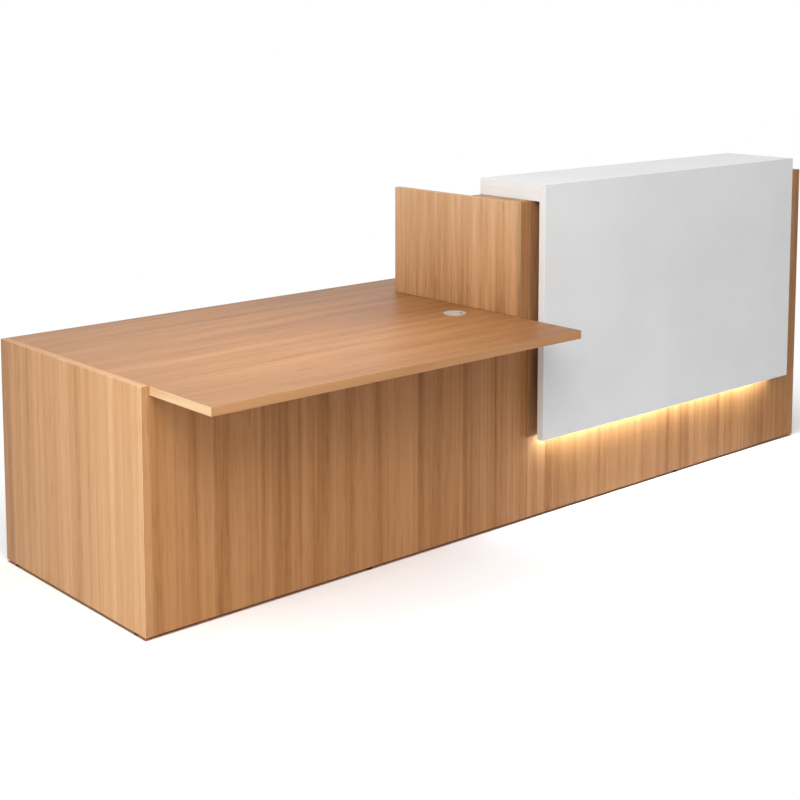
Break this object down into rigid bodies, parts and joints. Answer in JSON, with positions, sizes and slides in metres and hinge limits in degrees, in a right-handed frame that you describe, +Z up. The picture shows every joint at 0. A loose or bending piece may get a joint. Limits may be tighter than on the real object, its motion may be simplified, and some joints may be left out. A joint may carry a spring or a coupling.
{
  "type": "reception desk",
  "caption": "Wood decor reception desk with a low overhanging desktop and a raised counter wall that carries a floating white hood with a light strip under its edge.",
  "frame": {"origin": "on the floor, under the middle of the desk's overall box", "axes": "+X along the desk to the visitors' right, +Y from the visitors' side to the staff side, +Z up"},
  "size_m": [3.19, 1.15, 1.196],
  "materials": {
    "wood_decor": "matt melamine wood decor, straight grain",
    "white_board": "white satin laminate on board",
    "raw_batten": "raw batten",
    "dark_backing": "dark brown hardboard",
    "channel_aluminium": "anodised",
    "opal_plastic": "opal, lit warm white",
    "grey_plastic": "satin light grey",
    "black_plastic": "matt black",
    "white_plastic": "satin white",
    "zinc_steel": "zinc plated"
  },
  "bodies": {
    "desk": {"left_gable": "wood_decor", "centre_gable": "wood_decor", "right_gable": "wood_decor", "front_panel_left": "wood_decor", "front_panel_right": "wood_decor", "desktop": "wood_decor", "staff_worktop": "wood_decor", "raised_side_panel": "wood_decor", "wall_front_panel": "wood_decor", "wall_top_panel": "wood_decor", "wall_divider": "wood_decor", "hood_front": "white_board", "hood_top": "white_board", "hood_end_left": "white_board", "hood_end_right": "white_board", "hood_rear_rail": "white_board", "hood_centre_rail": "raw_batten", "hood_upper_batten": "raw_batten", "hood_lower_batten": "raw_batten", "hood_backing": "dark_backing", "light_channel": "channel_aluminium", "light_strip": "white_plastic", "light_cover": "opal_plastic", "light_end_cap_left": "grey_plastic", "light_end_cap_right": "grey_plastic", "light_driver": "white_plastic", "light_lead": "black_plastic", "lead_clip": "white_plastic", "cable_outlet_sleeve": "grey_plastic", "foot_socket_left_front": "zinc_steel", "foot_socket_left_rear": "zinc_steel", "foot_socket_centre_front": "zinc_steel", "foot_socket_centre_rear": "zinc_steel", "foot_socket_right_front": "zinc_steel", "foot_socket_right_rear": "zinc_steel", "foot_socket_panel_left": "zinc_steel", "foot_socket_panel_right": "zinc_steel", "angle_left_gable_front": "zinc_steel", "angle_left_gable_rear": "zinc_steel", "angle_right_gable_front": "zinc_steel", "angle_right_gable_rear": "zinc_steel", "angle_left_panel_left": "zinc_steel", "angle_left_panel_right": "zinc_steel", "angle_right_panel_left": "zinc_steel", "angle_right_panel_right": "zinc_steel", "seam_plate": "zinc_steel"},
    "outlet_lid": {"cable_outlet_lid": "grey_plastic"},
    "foot_left_front": {"foot_left_front": "black_plastic"},
    "foot_left_rear": {"foot_left_rear": "black_plastic"},
    "foot_centre_front": {"foot_centre_front": "black_plastic"},
    "foot_centre_rear": {"foot_centre_rear": "black_plastic"},
    "foot_right_front": {"foot_right_front": "black_plastic"},
    "foot_right_rear": {"foot_right_rear": "black_plastic"},
    "foot_panel_left": {"foot_panel_left": "black_plastic"},
    "foot_panel_right": {"foot_panel_right": "black_plastic"}
  },
  "joints": [
    {"name": "outlet_lid_turn", "type": "hinge", "parent": "desk", "child": "outlet_lid", "pos_m": [-0.221, -0.097, 0.742], "axis": [0, 0, 1], "continuous": true},
    {"name": "foot_left_front_level", "type": "slide", "parent": "desk", "child": "foot_left_front", "axis": [0, 0, -1], "range_m": [0, 0.015]},
    {"name": "foot_left_rear_level", "type": "slide", "parent": "desk", "child": "foot_left_rear", "axis": [0, 0, -1], "range_m": [0, 0.015]},
    {"name": "foot_centre_front_level", "type": "slide", "parent": "desk", "child": "foot_centre_front", "axis": [0, 0, -1], "range_m": [0, 0.015]},
    {"name": "foot_centre_rear_level", "type": "slide", "parent": "desk", "child": "foot_centre_rear", "axis": [0, 0, -1], "range_m": [0, 0.015]},
    {"name": "foot_right_front_level", "type": "slide", "parent": "desk", "child": "foot_right_front", "axis": [0, 0, -1], "range_m": [0, 0.015]},
    {"name": "foot_right_rear_level", "type": "slide", "parent": "desk", "child": "foot_right_rear", "axis": [0, 0, -1], "range_m": [0, 0.015]},
    {"name": "foot_panel_left_level", "type": "slide", "parent": "desk", "child": "foot_panel_left", "axis": [0, 0, -1], "range_m": [0, 0.015]},
    {"name": "foot_panel_right_level", "type": "slide", "parent": "desk", "child": "foot_panel_right", "axis": [0, 0, -1], "range_m": [0, 0.015]}
  ]
}
